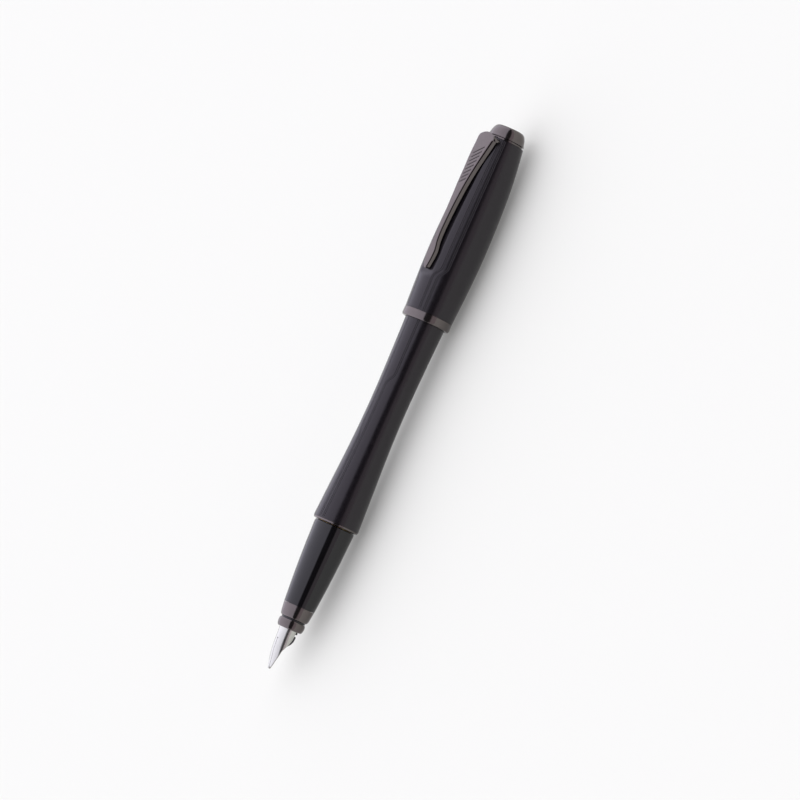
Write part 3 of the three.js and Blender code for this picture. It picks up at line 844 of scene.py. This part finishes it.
def clip_rows():
    """Distances from the foot at which the blade is sectioned, and the hatch's depth at each."""
    groove = [(-1.5, 0.0), (-1.0, 0.05), (-0.5, 0.75), (0.0, 1.0), (0.5, 0.75), (1.0, 0.05), (1.5, 0.0)]
    rows = []
    for i in range(HATCH_LINES):
        middle = HATCH_REAR - i * HATCH_PITCH
        rows.extend((middle + offset * HATCH_HALF_WIDTH, depth) for offset, depth in groove)
        rows.append((middle + HATCH_PITCH / 2, 0.0))
    hatched = min(rows)[0]
    length = CLIP_REAR - CLIP_FRONT
    foot = [0, 0.02, 0.06, 0.12, 0.2, 0.3, 0.42, 0.6, 0.8, 1.0]
    root = [length - offset for offset in (0, 0.02, 0.06, 0.12, 0.25, 0.36, 0.42, 0.46, 0.5, 0.6, 0.9)]
    rows.extend((distance, 0.0) for distance in [*foot, *root])
    rows.extend((distance, 0.0) for distance in np.arange(1.3, hatched - 0.3, 0.3))
    rows.extend((distance, 0.0) for distance in np.arange(HATCH_REAR + HATCH_PITCH, length - 1.1, 0.4))
    return sorted(rows)


def clip_section(distance, slant, hatch, outside):
    """One closed section of the blade, as points. It leans slant mm along the pen for each mm across."""
    half = flowing(CLIP_WIDTH, distance) / 2
    fine = min(1.0, half / 1.2)
    bevel = BEVEL_SIZE + BEVEL_GROWTH * half
    cut = hatch * HATCH_DEPTH
    right = [
        (share * half, -drop * fine - cut * (share <= HATCH_SHARE), 0.0) for share, drop in CLIP_FACE
    ]
    right += [(half + bevel * out, -bevel * drop, 0.0) for out, drop in CLIP_BEVEL]
    bevel_out, bevel_drop = bevel * np.array(CLIP_BEVEL[-1])
    lowest = half + bevel_out + CLIP_FLARE
    for share, inset in CLIP_SIDE:
        right.append((lowest - CLIP_FLARE * (1 - share) - inset, -bevel_drop * (1 - share), share))
    right += [(lowest * share, 0.0, 1.0) for share in CLIP_UNDER]
    whole = right + [(-y, drop, share) for y, drop, share in right[-2:0:-1]]
    section = []
    for y, drop, share in whole:
        at = distance - y * slant
        high = flowing(CLIP_HEIGHT, at)
        station = CLIP_FRONT + at
        low = max(high - CLIP_THICKNESS, np.interp(station, *outside) - FLAT_DEPTH + CLIP_GAP)
        down = smoothstep((at - (CLIP_REAR - CLIP_FRONT) + ROOT_BEND + 0.08) / 0.1)
        low = low * (1 - down) + ROOT_LOW * down
        section.append((station, y, high + drop + (low - high) * share))
    return section


def clip_groove_shade(hatch, count):
    """How dark the painted shade at the bottom of the hatch grooves is at each point of a section."""
    marks = np.zeros(count)
    for i, (share, _) in enumerate(CLIP_FACE):
        marks[i] = marks[-i] = hatch * (share <= HATCH_SHARE)
    return marks


def clip_blade():
    """The blade as one tube of sections, rounded at the foot, with its root turned down to the washer."""
    outside = outside_of(outline_of("cap_shell"))
    length = CLIP_REAR - CLIP_FRONT
    rows = []
    marks = []
    for distance, depth in clip_rows():
        leaning = smoothstep((distance - SLANT_FRONT) / SLANT_RAMP)
        ramp = leaning * smoothstep((length - UPRIGHT_ROOT - distance) / UPRIGHT_RAMP)
        slant = math.tan(HATCH_SLANT) * ramp
        row = np.array(clip_section(distance, slant, depth, outside))
        middle = row[:, 2].max() * 0.5 + row[:, 2].min() * 0.5
        foot = min(1.0, (distance + 0.04) / FOOT_ROUND)
        root = min(1.0, (length - distance + 0.02) / ROOT_ROUND)
        foot_arc = math.sqrt(1 - (1 - foot) ** 2)
        squeeze = foot_arc * (0.85 + 0.15 * math.sqrt(1 - (1 - root) ** 2))
        row[:, 2] = middle + (row[:, 2] - middle) * squeeze
        row[:, 1] *= FOOT_NARROW + (1 - FOOT_NARROW) * foot_arc
        bowed = ROOT_ARC * max(0.0, 1 - (length - distance) / ROOT_ARC_LENGTH) ** 2
        row[:, 0] -= bowed * (row[:, 1] / 2.5) ** 2
        rows.append(row)
        marks.append(clip_groove_shade(depth, len(row)))
    return lofted(np.array(rows)), np.array(marks).ravel()


def washer():
    """The flat washer under the crown."""
    low, high = limits("clip_ring")
    hole = 1.25
    edge = 0.06
    corners = [
        (low.x, hole), (low.x, WASHER_RADIUS - edge), (low.x + edge, WASHER_RADIUS),
        (high.x - edge, WASHER_RADIUS), (high.x, WASHER_RADIUS - edge), (high.x, hole),
    ]
    turns = np.arange(ROUND) * 2 * np.pi / ROUND
    rows = np.array([[(x, *around(r, turn)) for turn in turns] for x, r in corners])
    points, faces = lofted(rows)
    rear = (len(corners) - 1) * ROUND
    bore = [[j, (j + 1) % ROUND, rear + (j + 1) % ROUND, rear + j] for j in range(ROUND)]
    return points, faces[2:] + bore


def clip():
    """The sprung clip: washer, root and blade are one strip of metal, which bends just below the crown."""
    touch = float(flowing(CLIP_HEIGHT, BUMP)) - CLIP_THICKNESS
    middle = (CLIP_FRONT + BUMP, 0, touch + BUMP_HALF_HEIGHT)
    bump = dome(middle, (BUMP_RADIUS, BUMP_RADIUS, BUMP_HALF_HEIGHT))
    blade, marks = clip_blade()
    made = mesh_object("clip_fine", *together(blade, washer(), bump))
    # the engraved attribute here carries the painted shade at the bottom of the hatch grooves
    engraving = made.data.attributes.new("engraved", "FLOAT", "POINT")
    values = np.zeros(len(made.data.vertices), np.float32)
    values[:len(marks)] = marks
    engraving.data.foreach_set("value", values)
    tidied(made, 40)
    made.data.materials.clear()
    made.data.materials.append(GUNMETAL)
    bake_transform(made)
    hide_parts("clip_ring", "clip_blade")


# ------------------------------------------------------------------ threads and knob

THREAD_SHAPE = [(0, 0), (0.3, 1), (0.5, 1), (0.8, 0), (1, 0)]  # share of a turn, share of the height
THREAD_ROWS = 16  # for each turn
THREAD_RUN_OUT = 0.6  # turns over which a thread fades out at each end
RADIUS_MATCH = 0.02  # a radius this near to the crest's or the root's is on it
COUPLING_PITCH = 2
COUPLING_CREST = 4.42
COUPLING_ROOT = 4.18
BUSH_CREST = 4.52
BUSH_ROOT = 4.74
ROD_PITCH = 2.5
ROD_CREST = 0.95
ROD_ROOT = 0.7
ROD_PLAIN = 3.7  # the length without thread at the rod's front


def threaded(node, material, crest, root, pitch, after=-1000):
    """Replaces a turned node, whose thread is drawn as rings, by one with a true helix."""
    outline = outline_of(node)
    on_crest = (np.abs(outline[:, 1] - crest) < RADIUS_MATCH) & (outline[:, 0] > after)
    first = outline[on_crest, 0].min() - 0.3 * pitch
    last = outline[on_crest, 0].max() + 0.3 * pitch
    low, high = min(crest, root) - RADIUS_MATCH, max(crest, root) + RADIUS_MATCH
    ringed = (outline[:, 0] > first - 0.01) & (outline[:, 0] < last + 0.01)
    ringed &= (outline[:, 1] > low) & (outline[:, 1] < high)
    plain = refined(outline[~ringed])
    ends = np.roll(plain, -1, axis=0)
    at_root = np.abs(plain[:, 1] - root) + np.abs(ends[:, 1] - root) < 0.05
    long = np.abs(ends[:, 0] - plain[:, 0]) * at_root
    gap = int(np.argmax(long))
    count = int(long[gap] / pitch * THREAD_ROWS)
    extra = np.linspace(plain[gap], ends[gap], count)[1:-1]
    rows = np.insert(plain, gap + 1, extra, axis=0)

    def helix(station, radius, azimuth):
        turn = ((station - first) / pitch - azimuth / (2 * np.pi)) % 1
        height = np.interp(turn, *zip(*THREAD_SHAPE))
        run_out = THREAD_RUN_OUT * pitch
        fade = smoothstep((station - first) / run_out) * smoothstep((last - station) / run_out)
        return radius + (crest - root) * height * fade * (np.abs(radius - root) < 0.05)

    made = spun(node + "_fine", rows, ROUND_INSIDE, helix)
    return finished(made, node, material)


SPINDLE_BORE = 1.05
SPINDLE_RADIUS = 3.3
KNOB_RADIUS = 3.55
FLUTES = 12
FLUTE_DEPTH = 0.3


def converter_knob():
    """The fluted knob and the hollow spindle in front of it."""
    front, rear = limits("converter_knob")[0].x, limits("converter_knob")[1].x
    shoulder = limits("converter_sleeve")[1].x + 0.15
    outline = np.array([
        (rear - 1.5, 0), (rear - 1.5, SPINDLE_BORE), (front, SPINDLE_BORE), (front, SPINDLE_RADIUS),
        (shoulder, SPINDLE_RADIUS), (shoulder, KNOB_RADIUS), (rear - 1.4, KNOB_RADIUS), (rear - 0.5, 3.3),
        (rear, 2.6), (rear, 0),
    ])

    def fluted(station, radius, azimuth):
        length = smoothstep((station - shoulder - 0.5) / 0.8) * smoothstep((rear - 1.2 - station) / 1.2)
        groove = (0.5 + 0.5 * np.cos(FLUTES * azimuth)) ** 2
        return radius - FLUTE_DEPTH * groove * length * (radius > SPINDLE_RADIUS + 0.1)

    rows = refined(outline)
    knob = (rows[:, 1] > KNOB_RADIUS - 0.01) & (rows[:, 0] > shoulder)
    at = int(np.nonzero(knob)[0].max())
    extra = np.linspace(rows[at - 1], rows[at], 40)[1:-1]
    rows = np.insert(rows, at, extra, axis=0)
    made = spun("converter_knob_fine", rows, ROUND, fluted)
    finished(made, "converter_knob", FEED_BLACK)


nib()
feed()
clip()
threaded("section_coupling", BRASS, COUPLING_CREST, COUPLING_ROOT, COUPLING_PITCH)
threaded("barrel_thread_bush", BRASS, BUSH_CREST, BUSH_ROOT, COUPLING_PITCH)
rod_thread = limits("piston_rod")[0].x + ROD_PLAIN
threaded("piston_rod", FEED_BLACK, ROD_CREST, ROD_ROOT, ROD_PITCH, after=rod_thread)
converter_knob()
NODES["crown_screw"].data.materials.clear()
NODES["crown_screw"].data.materials.append(PLATED)


# ------------------------------------------------------------------ camera, floor and light

CAMERA_AZIMUTH = 50  # degrees round the pen's axis, from the clip
CAMERA_TILT = 3  # towards the nib
CAMERA_ROLL = 23.93  # the pen's lean in the picture
CAMERA_DISTANCE = 1150
LENS = 204
PICTURE_MIDDLE = (0.6, 2.1)  # what the camera looks at: station, and distance off the axis to its right


def camera():
    """Looks at the pen from its side and a little above, leaned as it is held for writing."""
    azimuth = math.radians(CAMERA_AZIMUTH)
    tilt = math.radians(CAMERA_TILT)
    roll = math.radians(CAMERA_ROLL)
    out = Vector((0, -math.sin(azimuth), math.cos(azimuth)))
    across = Vector((0, -math.cos(azimuth), -math.sin(azimuth)))
    towards = out * math.cos(tilt) - Vector((1, 0, 0)) * math.sin(tilt)
    along = Vector((1, 0, 0)) * math.cos(tilt) + out * math.sin(tilt)
    right = along * math.sin(roll) + across * math.cos(roll)
    up = along * math.cos(roll) - across * math.sin(roll)
    middle = Vector((PICTURE_MIDDLE[0], 0, AXIS_Z)) + across * PICTURE_MIDDLE[1]
    data = bpy.data.cameras.new("camera")
    data.lens = LENS
    data.sensor_width = 36
    data.clip_start = 0.01
    data.clip_end = 20
    made = bpy.data.objects.new("camera", data)
    bpy.context.scene.collection.objects.link(made)
    turn = Matrix((right, up, towards)).transposed().to_4x4()
    made.matrix_world = Matrix.Translation((middle + towards * CAMERA_DISTANCE) * MM) @ turn
    bpy.context.scene.camera = made


FLOOR_COLOUR = (0.61, 0.625, 0.54, 1)  # with the cool light from above it looks neutral
FLOOR_GLOW = 0.17


def floor():
    """A plain pale sheet under the pen, which glows a little."""
    material, _, shader = principled("floor", Roughness=0.9, Emission_Strength=FLOOR_GLOW)
    shader.inputs["Base Color"].default_value = FLOOR_COLOUR
    shader.inputs["Emission Color"].default_value = (1, 1, 1, 1)
    half = 1.5  # metres
    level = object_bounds()[0].z
    mesh = bpy.data.meshes.new("floor")
    corners = [(-half, -half, level), (half, -half, level), (half, half, level), (-half, half, level)]
    mesh.from_pydata(corners, [], [(0, 1, 2, 3)])
    made = bpy.data.objects.new("floor", mesh)
    made.data.materials.append(material)
    bpy.context.scene.collection.objects.link(made)
    made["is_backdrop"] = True


# The studio's light, by the direction it comes from: 0 degrees is the horizon on the camera's side, 90 is
# straight above and 180 is the far horizon.
FRONT_LIGHT = 0.75
FRONT_COLOUR = (1.0, 0.87, 0.955)
BAND = (22, 55)  # an unlit strip above the front light
BAND_LIGHT = 0.07
BAND_SOFT = 2.5
TOP_LIGHT = 1.3
TOP_COLOUR = (1.0, 0.975, 1.13)
FAR_LIGHT = 1.85
FAR_FULL = 150  # the direction from which the far light is at its full strength


def studio():
    """A plain soft dome of light with one unlit strip over the camera, as a world."""
    world = bpy.data.worlds.new("studio")
    bpy.context.scene.world = world
    world.use_nodes = True
    tree = world.node_tree
    background = tree.nodes["Background"]
    where = tree.nodes.new("ShaderNodeTexCoord")
    split = tree.nodes.new("ShaderNodeSeparateXYZ")
    tree.links.new(where.outputs["Generated"], split.inputs["Vector"])
    towards = tree.nodes.new("ShaderNodeMath")
    towards.operation = "MULTIPLY"
    towards.inputs[1].default_value = -1
    tree.links.new(split.outputs["Y"], towards.inputs[0])
    lift = tree.nodes.new("ShaderNodeMath")
    lift.operation = "ARCTAN2"
    tree.links.new(split.outputs["Z"], lift.inputs[0])
    tree.links.new(towards.outputs["Value"], lift.inputs[1])

    def step(start, end, low, high):
        """A value that passes from low to high between two directions, in degrees."""
        node = tree.nodes.new("ShaderNodeMapRange")
        node.interpolation_type = "SMOOTHSTEP"
        node.inputs["From Min"].default_value = math.radians(start)
        node.inputs["From Max"].default_value = math.radians(end)
        node.inputs["To Max"].default_value = high
        node.inputs["To Min"].default_value = low
        tree.links.new(lift.outputs["Value"], node.inputs["Value"])
        return node.outputs["Result"]

    def sum_of(a, b):
        node = tree.nodes.new("ShaderNodeMath")
        tree.links.new(a, node.inputs[0])
        tree.links.new(b, node.inputs[1])
        return node.outputs["Value"]

    low, high = BAND
    into_band = step(low - BAND_SOFT, low + BAND_SOFT, FRONT_LIGHT, BAND_LIGHT)
    out_of_band = step(high - BAND_SOFT, high + BAND_SOFT, 0, TOP_LIGHT - BAND_LIGHT)
    to_far = step(high, FAR_FULL, 0, FAR_LIGHT - TOP_LIGHT)
    light = sum_of(sum_of(into_band, out_of_band), to_far)
    tree.links.new(light, background.inputs["Strength"])
    colour = between(tree, step(low, high, 0, 1), FRONT_COLOUR, TOP_COLOUR)
    tree.links.new(colour, background.inputs["Color"])


camera()
floor()
studio()
scene = bpy.context.scene
scene.view_settings.view_transform = "Standard"
